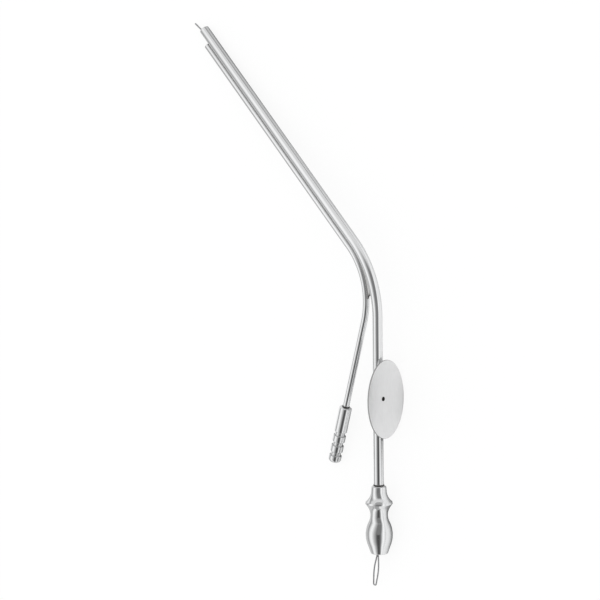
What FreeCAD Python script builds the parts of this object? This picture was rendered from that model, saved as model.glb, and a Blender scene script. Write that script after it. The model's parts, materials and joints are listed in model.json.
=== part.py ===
import FreeCAD, Part
import math
import os

from FreeCAD import Placement, Rotation, Vector

# Angled suction tube with a finger plate, an irrigation tube soldered along its inner
# side, and the wire stylet that keeps its bore clear.
#
# It is drawn flat in the plane of its bend: X runs along the handle from the hose end
# of the suction connector, the tip bends towards +Y, and the finger plate faces -Y.
# Last of all it is laid on its side, the way it comes to rest on a tray.
# Lengths are in millimetres, angles in degrees.

# Suction tube: a 10 French handle and tip with one bend between them.
suction_diameter = 3.33
suction_wall = 0.30
handle_length = 94.06
tip_length = 110.5
bend_angle = 45.0
suction_bend_radius = 35.0

# Irrigation tube: ends short of the suction tip, and leaves the handle at a slant.
irrigation_diameter = 2.20
irrigation_wall = 0.25
irrigation_setback = 4.9
irrigation_bend_radius = 25.0
tail_angle = 16.0
tail_length = 31.3

# Silver solder between the two tubes. It fills the fork as a thin web with a round end.
tube_gap = 0.08
solder_fillet = 0.5
fork_station = 85.4
fork_notch_radius = 1.0

# Finger plate: a dished oval with a vent at its centre. Its dish is as deep at both ends
# as at both sides, so its rim is flat.
plate_station = 52.6
plate_length = 26.4
plate_width = 17.7
plate_thickness = 0.60
plate_dish = 1.30
plate_bevel = 0.18
vent_diameter = 1.35

# Solder pad between the plate and the tube.
plate_gap = 0.05
pad_length = 20.0
pad_width = 5.6
pad_root_width = 2.9
pad_depth = 0.95
pad_hollow = 0.18

# Suction connector, turned: a mouth, an olive that grips the hose, a neck, a collar
# and a flared shank. Stations are measured from the hose end. A radius that is called
# a peak is where the straight flanks would cross before the blend rounds them.
suction_connector_length = 23.3
mouth_radius = 2.81
mouth_blend = 0.40
olive_station = 7.0
olive_peak_radius = 5.32
olive_blend = 9.8
neck_station = 13.6
neck_peak_radius = 2.11
neck_blend = 5.0
collar_station = 16.97
collar_radius = 4.57
collar_width = 0.57
collar_taper = 0.11
flare_station = 19.19
flare_peak_radius = 2.73
flare_blend = 4.9
shank_radius = 2.45
suction_socket_depth = 12.0
suction_connector_bore = 2.90

# Irrigation connector, turned: a barrel, then rings that grip a narrow hose. The last
# ring is rounded off as the nose.
barrel_radius = 2.13
barrel_length = 8.6
ring_radius = 2.12
ring_width = 2.2
ring_count = 3
groove_radius = 1.65
groove_width = 1.43
land_bevel = 0.25
nose_blend = 1.1
irrigation_socket_depth = 6.0

# Each tube slips into its socket with room for solder, past a countersunk lip.
socket_clearance = 0.03
lip_chamfer = 0.25

# Stylet: one wire through the suction bore. It lies along the inner side of the bend,
# and its other end is folded back into a thumb loop.
stylet_diameter = 0.50
stylet_clearance = 0.10
stylet_reach = 4.0
stylet_tip_angle = 10.0
stylet_tip_bend_radius = 6.0
leg_gap = 0.03
loop_neck = 0.9
loop_neck_blend = 4.5
loop_length = 10.4
loop_lean = 8.0
loop_widest = 4.7
loop_width = 2.18
loop_side_blend = 19.0
loop_apex_width = 1.05
loop_apex_blend = 0.50
loop_return = 6.0

# Worked out from the sizes above.
suction_radius = suction_diameter / 2
suction_bore = suction_diameter - 2 * suction_wall
irrigation_radius = irrigation_diameter / 2
irrigation_bore = irrigation_diameter - 2 * irrigation_wall
tube_spacing = suction_radius + tube_gap + irrigation_radius
suction_bend_reach = suction_bend_radius * math.tan(math.radians(bend_angle) / 2)
irrigation_turn = math.radians(bend_angle + tail_angle)
irrigation_bend_reach = irrigation_bend_radius * math.tan(irrigation_turn / 2)
plate_seat = suction_radius + plate_gap


def heading(degrees):
    """Unit vector in the plane of the bend, turned from the handle's own direction."""
    turn = math.radians(degrees)
    return Vector(math.cos(turn), math.sin(turn), 0)


ALONG_TIP = heading(bend_angle)
ACROSS_TIP = heading(bend_angle + 90)
ALONG_TAIL = heading(180 - tail_angle)
BEND_CORNER = Vector(handle_length, 0, 0)
BEND_END = BEND_CORNER + ALONG_TIP * suction_bend_reach
SUCTION_TIP = BEND_CORNER + ALONG_TIP * tip_length

# The irrigation tube starts to bend at the same section as the suction tube.
IRRIGATION_BEND_END = BEND_END + ACROSS_TIP * tube_spacing
IRRIGATION_CORNER = IRRIGATION_BEND_END - ALONG_TIP * irrigation_bend_reach
IRRIGATION_TIP = SUCTION_TIP + ACROSS_TIP * tube_spacing - ALONG_TIP * irrigation_setback
TAIL_FACE = IRRIGATION_CORNER + ALONG_TAIL * (irrigation_bend_reach + tail_length)
TAIL_SEAT = TAIL_FACE + ALONG_TAIL * irrigation_socket_depth


def blend_reaches(corners):
    """How far each blend reaches along its two runs, limited where a run is too short."""
    points = [corner[0] for corner in corners]
    reaches = [0.0] * len(corners)
    for i in range(1, len(corners) - 1):
        turn = (points[i] - points[i - 1]).getAngle(points[i + 1] - points[i])
        reaches[i] = corners[i][1] * math.tan(turn / 2)
    limited = list(reaches)
    for i in range(len(corners) - 1):
        wanted = reaches[i] + reaches[i + 1]
        room = 0.99 * (points[i + 1] - points[i]).Length
        if wanted > room:
            limited[i] = min(limited[i], reaches[i] * room / wanted)
            limited[i + 1] = min(limited[i + 1], reaches[i + 1] * room / wanted)
    return limited


def blend_arc(before, corner, after, reach):
    """Arc tangent to both runs at a corner: where it starts and ends, its centre and radius."""
    back = (before - corner).normalize()
    onward = (after - corner).normalize()
    half = back.getAngle(onward) / 2
    radius = reach * math.tan(half)
    centre = corner + (back + onward).normalize() * (radius / math.sin(half))
    return corner + back * reach, corner + onward * reach, centre, radius


def blended_wire(corners):
    """Straight runs between corners, joined by tangent arcs.

    A corner is a point and the radius of its blend, which is 0 where it stays sharp.
    """
    points = [corner[0] for corner in corners]
    reaches = blend_reaches(corners)
    edges = []
    start = points[0]
    for i in range(1, len(points)):
        if reaches[i] > 0:
            entry, leave, centre, radius = blend_arc(points[i - 1], points[i], points[i + 1], reaches[i])
            edges.append(Part.LineSegment(start, entry).toShape())
            crown = centre + (points[i] - centre).normalize() * radius
            edges.append(Part.Arc(entry, crown, leave).toShape())
            start = leave
        else:
            edges.append(Part.LineSegment(start, points[i]).toShape())
            start = points[i]
    return Part.Wire(edges)


def swept_rod(corners, diameter):
    """Round rod whose centre line follows the corners."""
    route = blended_wire(corners)
    direction = (corners[1][0] - corners[0][0]).normalize()
    section = Part.Wire(Part.makeCircle(diameter / 2, corners[0][0], direction))
    return route.makePipeShell([section], True, False)


def turning_corners(outline):
    """Corners of a turned outline, from its stations, radii and blends."""
    return [(Vector(station, radius, 0), blend) for station, radius, blend in outline]


def turned(corners):
    """Solid turned about X. Its outline starts and ends on the axis."""
    axis = Part.LineSegment(corners[-1][0], corners[0][0]).toShape()
    face = Part.Face(Part.Wire(blended_wire(corners).Edges + [axis]))
    return face.revolve(Vector(0, 0, 0), Vector(1, 0, 0), 360)


def bored(blank, start, end, radius):
    """The blank with a round hole along X between two stations."""
    drill = Part.makeCylinder(radius, end - start, Vector(start, 0, 0), Vector(1, 0, 0))
    return blank.cut(drill)


def countersunk(blank, station, radius, inward):
    """The blank with the lip of a hole bevelled. Inward is +1 or -1 along X."""
    mouth = Vector(station, 0, 0)
    tool = Part.makeCone(radius + lip_chamfer, radius, lip_chamfer, mouth, Vector(inward, 0, 0))
    return blank.cut(tool)


def suction_route():
    """Centre line of the suction tube, from its seat in the connector to its tip."""
    seat = Vector(suction_connector_length - suction_socket_depth, 0, 0)
    return [(seat, 0), (BEND_CORNER, suction_bend_radius), (SUCTION_TIP, 0)]


def irrigation_route():
    """Centre line of the irrigation tube, from its seat in the connector to its tip."""
    return [(TAIL_SEAT, 0), (IRRIGATION_CORNER, irrigation_bend_radius), (IRRIGATION_TIP, 0)]


def vent_drill():
    """Drill through the plate, its solder and the near wall of the suction tube."""
    depth = plate_seat + plate_thickness + plate_dish
    return Part.makeCylinder(vent_diameter / 2, depth, Vector(plate_station, 0, 0), Vector(0, -1, 0))


def suction_tube():
    """Bent tube with an open tip and a vent under the finger plate."""
    route = suction_route()
    wall = swept_rod(route, suction_diameter).cut(swept_rod(route, suction_bore))
    return wall.cut(vent_drill())


def irrigation_tube():
    """Thinner tube beside the tip, with its tail slanting away from the handle."""
    route = irrigation_route()
    return swept_rod(route, irrigation_diameter).cut(swept_rod(route, irrigation_bore))


def seam_section():
    """Section of the solder between the tubes: it hugs both, with a fillet each side."""
    near = suction_radius + solder_fillet
    far = irrigation_radius + solder_fillet
    across = (near ** 2 - far ** 2 + tube_spacing ** 2) / (2 * tube_spacing)
    up = math.sqrt(near ** 2 - across ** 2)
    near_share = suction_radius / near
    far_share = irrigation_radius / far
    near_edge = (across * near_share, up * near_share)
    far_edge = (tube_spacing + (across - tube_spacing) * far_share, up * far_share)
    throat = up - solder_fillet

    def at(offset, height):
        return BEND_END + ACROSS_TIP * offset + Vector(0, 0, height)

    edges = [
        Part.Arc(at(near_edge[0], near_edge[1]), at(across, throat), at(far_edge[0], far_edge[1])),
        Part.Arc(at(far_edge[0], far_edge[1]), at(tube_spacing - irrigation_radius, 0),
                 at(far_edge[0], -far_edge[1])),
        Part.Arc(at(far_edge[0], -far_edge[1]), at(across, -throat), at(near_edge[0], -near_edge[1])),
        Part.Arc(at(near_edge[0], -near_edge[1]), at(suction_radius, 0), at(near_edge[0], near_edge[1])),
    ]
    return Part.Face(Part.Wire([edge.toShape() for edge in edges])), throat


def on_bend(centre, radius, degrees):
    """Point of a bend about its centre, where the tube has turned by so many degrees."""
    return centre - heading(degrees + 90) * radius


def fork_web(throat):
    """Web of solder that fills the widening gap between the bends, to a round notch."""
    suction_centre = BEND_END + ACROSS_TIP * suction_bend_radius
    irrigation_centre = IRRIGATION_BEND_END + ACROSS_TIP * irrigation_bend_radius
    suction_turn = math.degrees(math.asin((fork_station - suction_centre.x) / suction_bend_radius))
    irrigation_turn_left = math.degrees(
        math.asin((fork_station - irrigation_centre.x) / irrigation_bend_radius))
    suction_side = [on_bend(suction_centre, suction_bend_radius, turn)
                    for turn in (suction_turn, (suction_turn + bend_angle) / 2, bend_angle)]
    irrigation_side = [on_bend(irrigation_centre, irrigation_bend_radius, turn)
                       for turn in (bend_angle, (irrigation_turn_left + bend_angle) / 2, irrigation_turn_left)]
    outline = Part.Wire([
        Part.Arc(*suction_side).toShape(),
        Part.LineSegment(suction_side[2], irrigation_side[0]).toShape(),
        Part.Arc(*irrigation_side).toShape(),
        Part.LineSegment(irrigation_side[2], suction_side[0]).toShape(),
    ])
    web = Part.Face(outline).extrude(Vector(0, 0, 2 * throat))
    web.translate(Vector(0, 0, -throat))
    middle = (suction_side[0] + irrigation_side[2]) / 2
    middle.y += (suction_radius - irrigation_radius) / 2
    notch = Part.makeCylinder(fork_notch_radius, 4 * throat, middle - Vector(0, 0, 2 * throat))
    rods = [swept_rod(suction_route(), suction_diameter), swept_rod(irrigation_route(), irrigation_diameter)]
    return web.cut([notch] + rods)


def tube_solder():
    """Solder along the whole length where the two tubes lie together."""
    section, throat = seam_section()
    seam_length = tip_length - suction_bend_reach - irrigation_setback
    seam = section.extrude(ALONG_TIP * seam_length)
    return seam.fuse(fork_web(throat)).removeSplitter()


def dish_radius(width):
    """Radius of an arc that sinks by the depth of the dish over a width."""
    return (width ** 2 / 4 + plate_dish ** 2) / (2 * plate_dish)


def dished_bar(thickness):
    """Bar with the curves of the dish both ways, on its seat against the tube.

    A section across the plate is swung about an axis in front of the plate.
    """
    across = dish_radius(plate_width)
    along = dish_radius(plate_length)
    spread = math.asin(0.55 * plate_width / across)

    def level(height):
        return [Vector(0, (across - height) * math.cos(turn) - across, (across - height) * math.sin(turn))
                for turn in (-spread, 0, spread)]

    under = level(0)
    upper = level(thickness)
    section = Part.Face(Part.Wire([
        Part.Arc(*under).toShape(),
        Part.LineSegment(under[2], upper[2]).toShape(),
        Part.Arc(*reversed(upper)).toShape(),
        Part.LineSegment(upper[0], under[0]).toShape(),
    ]))
    swing = math.degrees(math.asin(0.55 * plate_length / along))
    axis = Vector(0, -along, 0)
    section.rotate(axis, Vector(0, 0, 1), -swing)
    bar = section.revolve(axis, Vector(0, 0, 1), 2 * swing)
    bar.translate(Vector(plate_station, -plate_seat, 0))
    return bar


def oval_post(length, width):
    """Oval post that stands out from the handle's axis, past the plate."""
    height = plate_seat + plate_dish + 2 * plate_thickness
    plan = Part.Ellipse(Vector(0, 0, 0), length / 2, width / 2)
    post = Part.Face(Part.Wire(plan.toShape())).extrude(Vector(0, 0, height))
    post.Placement = Placement(Vector(plate_station, 0, 0), Rotation(Vector(1, 0, 0), 90))
    return post


def finger_plate():
    """Dished oval of even thickness with bevelled edges, drilled at its centre."""
    blank = dished_bar(plate_thickness).common(oval_post(plate_length, plate_width)).Solids[0]
    rims = [edge for edge in blank.Edges if edge.Length > plate_length]
    return blank.makeChamfer(plate_bevel, rims).cut(vent_drill())


def plate_solder():
    """Solder pad under the plate: hollow flanks down to the tube, and rounded ends."""
    outer = plate_seat + plate_dish
    root = suction_radius - pad_depth
    crest = Vector(0, -outer, pad_width / 2)
    foot = Vector(0, -root, pad_root_width / 2)
    flank = (crest + foot) / 2 - Vector(0, pad_hollow, pad_hollow)
    mirrored = [Vector(0, point.y, -point.z) for point in (foot, flank, crest)]
    section = Part.Face(Part.Wire([
        Part.Arc(crest, flank, foot).toShape(),
        Part.LineSegment(foot, mirrored[0]).toShape(),
        Part.Arc(*mirrored).toShape(),
        Part.LineSegment(mirrored[2], crest).toShape(),
    ]))
    bar = section.extrude(Vector(pad_length, 0, 0))
    bar.translate(Vector(plate_station - pad_length / 2, 0, 0))
    tube = swept_rod(suction_route(), suction_diameter)
    trimmed = bar.common(oval_post(pad_length, pad_width))
    return trimmed.cut([tube, dished_bar(plate_seat + plate_dish), vent_drill()])


def suction_outline():
    """Corners of the turned suction connector, each with its blend."""
    collar_end = collar_station + collar_width
    outline = [
        (0, 0, 0),
        (0, mouth_radius, mouth_blend),
        (olive_station, olive_peak_radius, olive_blend),
        (neck_station, neck_peak_radius, neck_blend),
        (collar_station, collar_radius, 0),
        (collar_end, collar_radius - collar_taper, 0),
        (flare_station, flare_peak_radius, flare_blend),
        (suction_connector_length, shank_radius, 0),
        (suction_connector_length, 0, 0),
    ]
    return turning_corners(outline)


def suction_connector():
    """Turned olive with its collar and shank, bored through and stepped for the tube."""
    length = suction_connector_length
    socket = suction_radius + socket_clearance
    shoulder = length - suction_socket_depth
    blank = bored(turned(suction_outline()), 0, shoulder, suction_connector_bore / 2)
    blank = bored(blank, shoulder, length, socket)
    blank = countersunk(blank, 0, suction_connector_bore / 2, 1)
    return countersunk(blank, length, socket, -1)


def land(start, end, radius):
    """Corners of a turned land with bevelled edges."""
    return [
        (start, radius - land_bevel, 0),
        (start + land_bevel, radius, 0),
        (end - land_bevel, radius, 0),
        (end, radius - land_bevel, 0),
    ]


def irrigation_connector():
    """Turned barrel with hose rings and a rounded nose, on the end of the tail."""
    outline = [(0, 0, 0)] + land(0, barrel_length, barrel_radius)
    station = barrel_length
    for _ in range(ring_count):
        outline.append((station, groove_radius, 0))
        outline.append((station + groove_width, groove_radius, 0))
        station += groove_width + ring_width
        outline.extend(land(station - ring_width, station, ring_radius))
    outline[-2:] = [(station, ring_radius, nose_blend), (station, 0, 0)]
    socket = irrigation_radius + socket_clearance
    blank = bored(turned(turning_corners(outline)), 0, irrigation_socket_depth, socket)
    blank = bored(blank, irrigation_socket_depth, station, irrigation_bore / 2)
    blank = countersunk(blank, 0, socket, 1)
    blank.Placement = Placement(TAIL_FACE, Rotation(Vector(1, 0, 0), ALONG_TAIL))
    return blank


def stylet():
    """Wire from the end of its folded leg, round the thumb loop and out past the tip."""
    offset = suction_bore / 2 - stylet_diameter / 2 - stylet_clearance
    leg = stylet_diameter + leg_gap
    along_loop = heading(180 - loop_lean)
    across_loop = heading(270 - loop_lean)
    neck = Vector(-loop_neck, offset - leg / 2, 0)

    def loop(reach, side):
        return neck + along_loop * reach + across_loop * side

    along_end = heading(bend_angle + stylet_tip_angle)
    corner = BEND_CORNER + Vector(-math.tan(math.radians(bend_angle) / 2), 1, 0) * offset
    kick = SUCTION_TIP + ACROSS_TIP * offset + ALONG_TIP * stylet_tip_bend_radius * math.tan(
        math.radians(stylet_tip_angle) / 2)
    return swept_rod([
        (Vector(loop_return, offset - leg, 0), 0),
        (loop(0, leg / 2), loop_neck_blend),
        (loop(loop_widest, loop_width / 2), loop_side_blend),
        (loop(loop_length, loop_apex_width / 2), loop_apex_blend),
        (loop(loop_length, -loop_apex_width / 2), loop_apex_blend),
        (loop(loop_widest, -loop_width / 2), loop_side_blend),
        (loop(0, -leg / 2), loop_neck_blend),
        (corner, suction_bend_radius - offset),
        (kick, stylet_tip_bend_radius),
        (kick + along_end * stylet_reach, 0),
    ], stylet_diameter)


def lowest_of_circle(centre, axis, radius, up):
    """Lowest point of a circle about an axis, for a given way up."""
    slope = up - axis * up.dot(axis)
    return centre - slope.normalize() * radius


def lowest_of_olive(up):
    """Lowest point of the olive, whose blend is an arc carried round the axis."""
    corners = suction_outline()
    before, peak, after = [corner[0] for corner in corners[1:4]]
    reach = blend_reaches(corners)[2]
    centre, blend = blend_arc(before, peak, after, reach)[2:]
    ring = lowest_of_circle(Vector(centre.x, 0, 0), Vector(1, 0, 0), centre.y, up)
    return ring - up * blend


def lowest_of_plate(up):
    """Lowest point of the plate's rim, on the edge of its under bevel."""
    half_length = plate_length / 2
    half_width = plate_width / 2
    span = math.hypot(half_length * up.x, half_width * up.z)
    rim = Vector(-half_length ** 2 * up.x / span, 0, -half_width ** 2 * up.z / span)
    return rim + Vector(plate_station, -plate_seat - plate_dish - plate_bevel, 0)


def way_up():
    """Upward direction once it lies on its olive, the rim of its plate and its tip."""
    up = Vector(0, 0, 1)
    for _ in range(12):
        olive = lowest_of_olive(up)
        plate = lowest_of_plate(up)
        tip = lowest_of_circle(SUCTION_TIP, ALONG_TIP, suction_radius, up)
        up = (tip - olive).cross(plate - olive).normalize()
        if up.z < 0:
            up = up * -1
    return up


def resting_place(shapes):
    """Where the drawing goes as it lies down: handle along X, its middle at the origin."""
    up = way_up()
    forward = (Vector(1, 0, 0) - up * up.x).normalize()
    turn = Rotation(forward, up.cross(forward), up, "ZXY").inverted()
    turned_over = [shape.copy() for shape in shapes]
    for shape in turned_over:
        shape.Placement = Placement(Vector(0, 0, 0), turn).multiply(shape.Placement)
    box = Part.makeCompound(turned_over).optimalBoundingBox(False, False)
    return Placement(Vector(-box.Center.x, -box.Center.y, -box.ZMin), turn)


built = {
    "suction_tube": suction_tube(),
    "irrigation_tube": irrigation_tube(),
    "tube_solder": tube_solder(),
    "finger_plate": finger_plate(),
    "plate_solder": plate_solder(),
    "suction_connector": suction_connector(),
    "irrigation_connector": irrigation_connector(),
    "stylet": stylet(),
}
place = resting_place(list(built.values()))

os.makedirs("parts", exist_ok=True)
for name, shape in built.items():
    shape.Placement = place.multiply(shape.Placement)
    print(name, len(shape.Solids), "solid", round(shape.Volume, 2), "mm3", "valid", shape.isValid())
    shape.exportStep(os.path.join("parts", name + ".step"))
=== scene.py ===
# %% [markdown]
# # A suction irrigation tube, from its solids to its finish
#
# The real tool is a bent steel suction tube with a thinner irrigation tube soldered along
# its tip, a dished finger plate with a vent, two turned hose connectors and a wire stylet.
# The solids come from CAD and fix every size. What they lack is what the eye looks for in
# polished metal: unbroken surfaces, small rounded edges and a finish with a direction.
# So each solid is replaced by a surface worked out from the same sizes, one step at a time.

# %% Load the solids as a fixed frame
import json
import math

import bmesh
import bpy
import numpy as np
from mathutils import Matrix


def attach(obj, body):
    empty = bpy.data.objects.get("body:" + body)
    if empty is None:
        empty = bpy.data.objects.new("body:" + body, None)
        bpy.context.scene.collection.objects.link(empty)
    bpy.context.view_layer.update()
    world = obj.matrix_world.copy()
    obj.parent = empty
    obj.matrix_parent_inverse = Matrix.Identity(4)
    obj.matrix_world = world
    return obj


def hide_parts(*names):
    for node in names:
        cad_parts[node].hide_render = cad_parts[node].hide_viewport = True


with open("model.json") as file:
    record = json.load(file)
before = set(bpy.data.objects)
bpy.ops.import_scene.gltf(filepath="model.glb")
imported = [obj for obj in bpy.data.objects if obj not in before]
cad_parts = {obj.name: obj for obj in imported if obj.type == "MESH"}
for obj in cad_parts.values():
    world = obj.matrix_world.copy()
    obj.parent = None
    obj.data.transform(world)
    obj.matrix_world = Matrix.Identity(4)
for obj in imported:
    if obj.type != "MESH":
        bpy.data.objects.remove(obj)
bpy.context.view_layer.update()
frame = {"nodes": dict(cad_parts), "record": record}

print("solids:", sorted(frame["nodes"]))

# %% [markdown]
# ## The drawing frame
#
# The tool was drawn flat and then laid on its side, so its sizes are simple only in the
# drawing: X runs along the handle from the hose end, the tip bends towards Y, and the
# finger plate faces -Y. The three mounts of the record say where those axes went. Reading
# them is better than copying a matrix, because it still holds if the part is laid down
# differently. Drawing sizes are in millimetres, as on a shop drawing.

# %% Find the drawing axes from the mounts
MM = 0.001
mounts = {mount["name"]: mount for mount in frame["record"]["mounts"]}


def unit(vector):
    """The vector divided by its own length."""
    return np.asarray(vector, float) / np.linalg.norm(vector)


handle_axis = -unit(mounts["suction_hose"]["axis"])
tip_axis = unit(mounts["suction_tip"]["axis"])
bend_normal = unit(np.cross(handle_axis, tip_axis))
axes = np.stack([handle_axis, np.cross(bend_normal, handle_axis), bend_normal])
origin = np.array(mounts["suction_hose"]["pos_m"])


def placed(points):
    """Drawing points in the row frame: origin + x times the handle's axis + y, z likewise."""
    return origin + np.asarray(points) * MM @ axes


def drawn(mount):
    """A mount's place and direction in the drawing, which is the same sum undone."""
    return axes @ (np.array(mount["pos_m"]) - origin) / MM, axes @ unit(mount["axis"])


tip_end, _ = drawn(mounts["suction_tip"])
bend_angle = math.atan2(tip_axis @ axes[1], tip_axis @ axes[0])
along_tip = np.array([math.cos(bend_angle), math.sin(bend_angle)])
bend_corner = tip_end[:2] - along_tip * tip_end[1] / math.sin(bend_angle)
print("bend of", round(math.degrees(bend_angle), 2), "degrees at", bend_corner.round(2))

# %% [markdown]
# ## The camera
#
# The photograph looks down on the tool from about a metre away, square to nothing. The
# view was fitted by matching known points of the drawing to their pixels, so it is written
# in the drawing's own axes: the point it looks at, the direction back to the camera, and
# the direction that is up in the picture.

# %% Put the camera where the photograph was taken
PICTURE_SIDE = 600
SENSOR = 36.0
FOCAL_PIXELS = 2960.23
CAMERA_DISTANCE = 1000.0
LOOKS_AT = np.array([82.289, 34.813, 0.0])
TO_CAMERA = unit([0.1468, -0.6734, 0.7245])
PICTURE_UP = unit([0.9891, 0.0911, -0.1158])


def turned_to(axis_x, axis_y, axis_z, place):
    """A matrix whose columns are an object's own axes, and its place."""
    matrix = Matrix.Identity(4)
    for column, values in enumerate((axis_x, axis_y, axis_z, place)):
        for row in range(3):
            matrix[row][column] = values[row]
    return matrix


camera_back = unit(TO_CAMERA @ axes)
camera_right = unit(np.cross(PICTURE_UP @ axes, camera_back))
camera_up = np.cross(camera_back, camera_right)
camera = bpy.data.objects.new("camera", bpy.data.cameras.new("camera"))
bpy.context.scene.collection.objects.link(camera)
camera.data.sensor_width = SENSOR
camera.data.lens = FOCAL_PIXELS / PICTURE_SIDE * SENSOR
camera.matrix_world = turned_to(
    camera_right, camera_up, camera_back, placed(LOOKS_AT + TO_CAMERA * CAMERA_DISTANCE))
bpy.context.scene.camera = camera
bpy.context.scene.view_settings.view_transform = "Standard"
print("lens of", round(camera.data.lens, 1), "mm,",
      round(math.degrees(math.asin(camera_back[2])), 1), "degrees above the floor")

# %% [markdown]
# ## Rounded lines
#
# A bent tube and a turned outline are the same thing to draw: straight runs joined by
# tangent arcs. Bevelling the finished mesh could round the corners too, but it knows
# nothing of the real radius and leaves uneven rings. Here the arcs are worked out, and a
# guard point is added on each run close to every arc. Without it, smooth shading would
# bend the reflection along a whole straight run.

# %% Straight runs joined by arcs
ARCS_MAY_TAKE = 0.99
GUARD_SHARE = 0.3
TINY = 1e-9


def rounded(corners, radii, steps=16):
    """Points, headings and distances of a flat line whose corners are rounded.

    A corner turns the line by an angle t. A circle of radius r touches both runs at
    r tan(t/2) from the corner, so the arc starts there, and its points are the centre plus
    the outward radius turned from 0 to t. Where a run is too short for its arcs, they shrink.
    """
    corners = np.asarray(corners, float)
    runs = np.diff(corners, axis=0)
    lengths = np.linalg.norm(runs, axis=1)
    along = runs / lengths[:, None]
    before, after = along[:-1], along[1:]
    turn = np.arctan2(before[:, 0] * after[:, 1] - before[:, 1] * after[:, 0],
                      (before * after).sum(1))
    reach = np.broadcast_to(radii, turn.shape) * np.tan(np.abs(turn) / 2)
    wanted = np.concatenate([[0], reach]) + np.concatenate([reach, [0]])
    shrink = np.minimum(1, ARCS_MAY_TAKE * lengths / np.maximum(wanted, TINY))
    reach = reach * np.minimum(shrink[:-1], shrink[1:])
    radius = reach / np.tan(np.abs(turn) / 2)
    spare = lengths - np.concatenate([[0], reach]) - np.concatenate([reach, [0]])
    guard = GUARD_SHARE * np.minimum(radius, np.minimum(spare[:-1], spare[1:]))

    first = np.arctan2(before[:, 1], before[:, 0])
    side = np.sign(turn)
    centre = (corners[1:-1] - before * reach[:, None]
              + (side * radius)[:, None] * np.stack([-np.sin(first), np.cos(first)], 1))
    heading = first[:, None] + turn[:, None] * np.linspace(0, 1, steps + 1)
    outward = -side[:, None, None] * np.stack([-np.sin(heading), np.cos(heading)], 2)
    arcs = centre[:, None] + radius[:, None, None] * outward
    ends = (arcs[:, :1] - (before * guard[:, None])[:, None],
            arcs[:, -1:] + (after * guard[:, None])[:, None])
    points = np.concatenate([ends[0], arcs, ends[1]], 1).reshape(-1, 2)
    heading = np.concatenate([heading[:, :1], heading, heading[:, -1:]], 1).reshape(-1)

    points = np.concatenate([corners[:1], points, corners[-1:]])
    heading = np.unwrap(np.concatenate([heading[:1], heading, heading[-1:]]))
    distance = np.concatenate([[0], np.linalg.norm(np.diff(points, axis=0), axis=1).cumsum()])
    return points, heading, distance


# %% [markdown]
# ## Surfaces from grids
#
# Every piece here is a grid of points bent into shape, closed on itself like a ring or
# gathered into poles. Whole arrays make the faces, without a loop over vertices. The
# signed volume of the closed surface tells which way its faces look: if it is negative,
# they are turned round. It is also a good thing to print, because it can be held against
# the solid's own volume.

# %% From a grid of points to a closed mesh
WELD_REACH = 1e-8


def grid_faces(rows, columns, ring):
    """Corner numbers of a grid's squares. Columns always close; rows do if it is a ring."""
    row = np.arange(rows if ring else rows - 1)[:, None]
    column = np.arange(columns)[None, :]
    next_row, next_column = (row + 1) % rows, (column + 1) % columns
    corners = [row * columns + column, row * columns + next_column,
               next_row * columns + next_column, next_row * columns + column]
    return np.stack(np.broadcast_arrays(*corners), -1).reshape(-1, 4)


def volume_of(points, faces):
    """Volume inside closed faces: a sixth of each corner triple product, added up."""
    corner = points[faces]
    halves = [np.einsum("ij,ij->i", corner[:, 0], np.cross(corner[:, i], corner[:, i + 1]))
              for i in (1, 2)]
    return sum(half.sum() for half in halves) / 6


def piece(name, grid, unbent=None, ring=True, painted_shade=0.0):
    """A closed piece of the tool from a grid of drawing points, welded at its poles.

    Unbent holds, for each point, where it was before the tube was bent or the blank was
    turned: along the work, and the two directions across. The grain of the finish follows
    it. A piece that isn't bent gives its drawing points. Painted shade goes from 0 on open
    metal to 1 where the colour is painted dark to stand for shade and the metal is made
    rougher, such as in a bore.
    """
    rows, columns = grid.shape[:2]
    points = grid.reshape(-1, 3)
    faces = grid_faces(rows, columns, ring)
    if volume_of(points, faces) < 0:
        faces = faces[:, ::-1]
    mesh = bpy.data.meshes.new(name)
    mesh.from_pydata(placed(points), [], faces)
    before = grid if unbent is None else unbent
    grain = mesh.attributes.new("unbent", "FLOAT_VECTOR", "POINT")
    grain.data.foreach_set("vector", before.reshape(-1).astype(np.float32))
    shade_paint = mesh.attributes.new("painted_shade", "FLOAT", "POINT")
    shade_paint.data.foreach_set("value", np.broadcast_to(
        painted_shade, grid.shape[:2]).reshape(-1).astype(np.float32))
    weld = bmesh.new()
    weld.from_mesh(mesh)
    bmesh.ops.remove_doubles(weld, verts=weld.verts, dist=WELD_REACH)
    weld.to_mesh(mesh)
    weld.free()
    mesh.shade_smooth()
    made = bpy.data.objects.new(name, mesh)
    bpy.context.scene.collection.objects.link(made)
    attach(made, "root")
    print(name, "-", len(mesh.polygons), "faces,", round(volume_of(points, faces), 1), "mm3")
    return made


# %% [markdown]
# ## Turning and bending
#
# Tubes, connectors and the wire are all round about a line. So one function serves them
# all: an outline of distances along the line and radii about it is turned, and the line
# itself may be straight or bent. The bend is flat, so one side of every ring always points
# along the drawing's Z, and the grid can't twist as it goes round the bend.

# %% An outline turned about a line that may bend
TURNED_SIDES = 96
LINE_REACH = 100.0
LIP = 0.12
LIP_STEPS = 13
BORE_MARGIN = 0.05


def straight(start, direction):
    """A straight centre line through a point. Distances on it are measured from that point."""
    start, direction = np.asarray(start)[:2], unit(np.asarray(direction)[:2])
    distance = np.array([-LINE_REACH, LINE_REACH])
    heading = math.atan2(direction[1], direction[0])
    return start + direction * distance[:, None], np.full(2, heading), distance


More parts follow.
